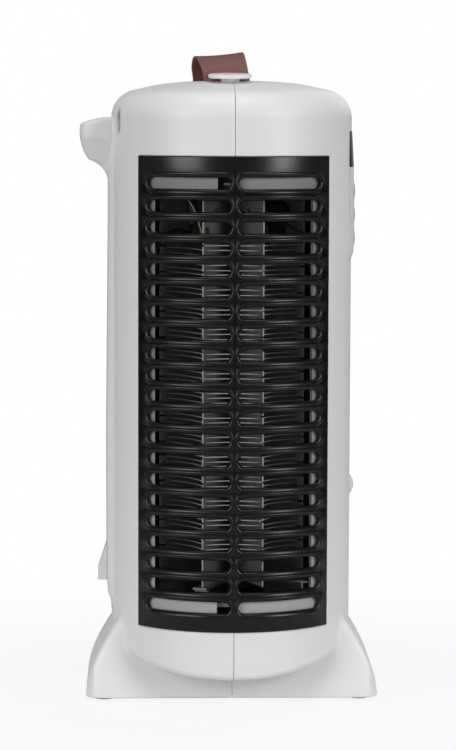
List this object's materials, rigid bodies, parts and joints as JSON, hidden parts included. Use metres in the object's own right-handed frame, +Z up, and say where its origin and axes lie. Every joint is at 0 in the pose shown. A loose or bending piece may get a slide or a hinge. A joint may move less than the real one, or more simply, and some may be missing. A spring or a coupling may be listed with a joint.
{
  "type": "fan heater",
  "caption": "Upright fan heater: round white body on a flared base, curved black slotted grille, wound element and fan inside, grip lip and leather carrying strap.",
  "frame": {"origin": "on the floor under the axis of the round body, which is the bottom centre of the box", "axes": "+Z up, -Y out of the outlet grille, +X to the right as the grille is faced"},
  "size_m": [0.1682, 0.1381, 0.3655],
  "materials": {
    "white_shell": "moulded ABS, soft satin gloss",
    "black_grille": "moulded heat-resistant plastic, satin black",
    "strap_leather": "dyed smooth leather, rosy brown",
    "stud_plastic": "moulded, satin",
    "display_lens": "black acrylic, polished",
    "black_plastic": "moulded, matt",
    "board_green": "solder mask on glass-fibre board",
    "grey_key": "moulded, matt grey",
    "mica": "bonded mica sheet, dull sheen",
    "resistance_wire": "drawn nickel-chrome wire",
    "eyelet_brass": "rolled brass rivet, heat tinted",
    "bright_steel": "zinc-plated pressed steel",
    "lead_sleeve": "woven glass sleeve, brown varnish",
    "shield_sheet": "dull aluminised sheet",
    "deck_plastic": "moulded, matt grey",
    "pad_rubber": "soft moulded, pale grey",
    "block_nylon": "moulded nylon, ivory"
  },
  "bodies": {
    "housing": {"left_shell": "white_shell", "right_shell": "white_shell", "outlet_grille": "black_grille", "intake_grille": "black_grille", "spine_cover": "white_shell", "cord_hood": "white_shell", "carry_strap": "strap_leather", "front_stud": "stud_plastic", "rear_stud": "stud_plastic", "control_fascia": "white_shell", "display_lens": "display_lens", "display_module": "black_plastic", "control_board": "board_green", "tact_switches": "black_plastic", "power_switch": "black_plastic", "mica_vanes": "mica", "heating_wire": "resistance_wire", "eyelets": "eyelet_brass", "thermal_cutout": "black_plastic", "thermal_fuse": "bright_steel", "lead_wires": "lead_sleeve", "lower_spider": "bright_steel", "top_bracket": "bright_steel", "heat_shield": "shield_sheet", "fan_deck": "deck_plastic", "fan_motor": "bright_steel", "motor_bracket": "bright_steel", "base_plate": "deck_plastic", "foot_pads": "pad_rubber", "terminal_block": "block_nylon", "tip_switch": "black_plastic", "shell_screws": "bright_steel", "base_screws": "bright_steel"},
    "rotor": {"fan_impeller": "black_plastic", "motor_shaft": "bright_steel"},
    "timer_button": {"timer_key": "grey_key"},
    "high_button": {"high_key": "grey_key"},
    "low_button": {"low_key": "grey_key"},
    "power_push": {"power_button": "white_shell"}
  },
  "joints": [
    {"name": "fan_spin", "type": "hinge", "parent": "housing", "child": "rotor", "pos_m": [0, 0, 0.045], "axis": [0, 0, 1], "continuous": true},
    {"name": "low_press", "type": "slide", "parent": "housing", "child": "low_button", "axis": [-1, 0, 0], "range_m": [0, 0.0008], "stiffness_N_per_m": 600},
    {"name": "high_press", "type": "slide", "parent": "housing", "child": "high_button", "axis": [-1, 0, 0], "range_m": [0, 0.0008], "stiffness_N_per_m": 600},
    {"name": "timer_press", "type": "slide", "parent": "housing", "child": "timer_button", "axis": [-1, 0, 0], "range_m": [0, 0.0008], "stiffness_N_per_m": 600},
    {"name": "power_press", "type": "slide", "parent": "housing", "child": "power_push", "axis": [-1, 0, 0], "range_m": [0, 0.0012], "stiffness_N_per_m": 600}
  ]
}
